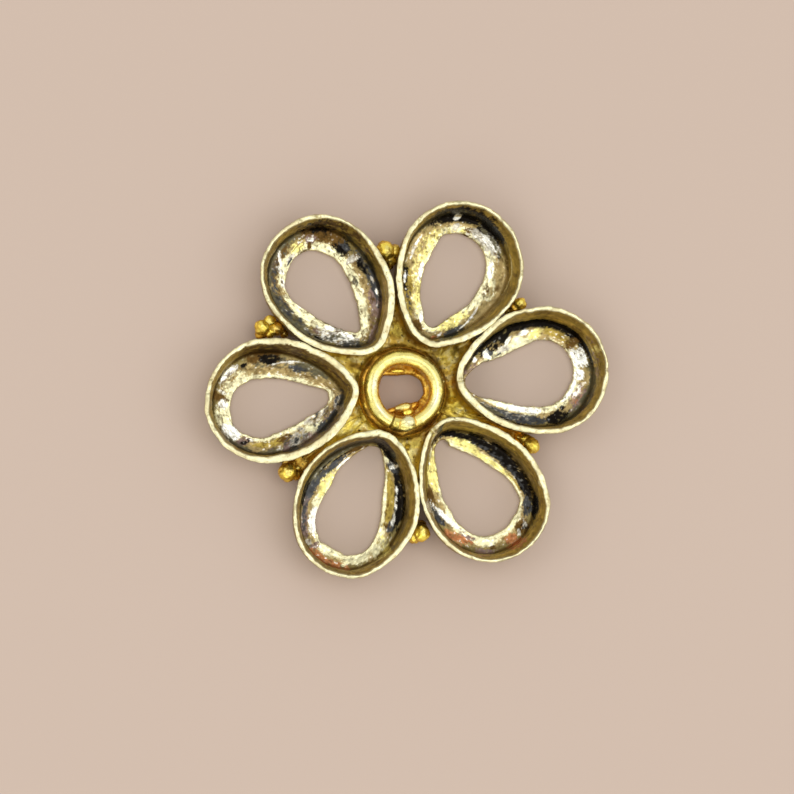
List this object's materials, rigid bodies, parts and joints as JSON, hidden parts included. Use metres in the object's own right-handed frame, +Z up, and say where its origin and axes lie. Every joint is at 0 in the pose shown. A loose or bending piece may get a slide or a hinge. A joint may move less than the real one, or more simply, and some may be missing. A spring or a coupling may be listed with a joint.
{
  "type": "pear bezel cup flower finding",
  "caption": "Flower-shaped jewellery finding: open-back pear bezel cups joined points inwards round a centre ring with a hole, with small gold balls between them.",
  "frame": {"origin": "on the axis of the centre bore, at the flat underside", "axes": "+Z up, out of the mouths of the cups; +X and +Y lie in the underside, with bezel_cup_3 pointing out nearly along +X"},
  "size_m": [0.0261, 0.0243, 0.0025],
  "materials": {
    "cups": "worn pale gold plate, dark oxide in the corners of the seats",
    "plate": "rough cast gold plate",
    "ring": "polished yellow gold plate",
    "granules": "satin yellow gold plate with orange solder round it"
  },
  "bodies": {
    "root": {"bezel_cup_1": "cups", "bezel_cup_2": "cups", "bezel_cup_3": "cups", "bezel_cup_4": "cups", "bezel_cup_5": "cups", "bezel_cup_6": "cups", "back_plate": "plate", "centre_ring": "ring", "granule_1": "granules", "granule_2": "granules", "granule_3": "granules", "granule_4": "granules", "granule_5": "granules", "granule_6": "granules"}
  },
  "joints": []
}
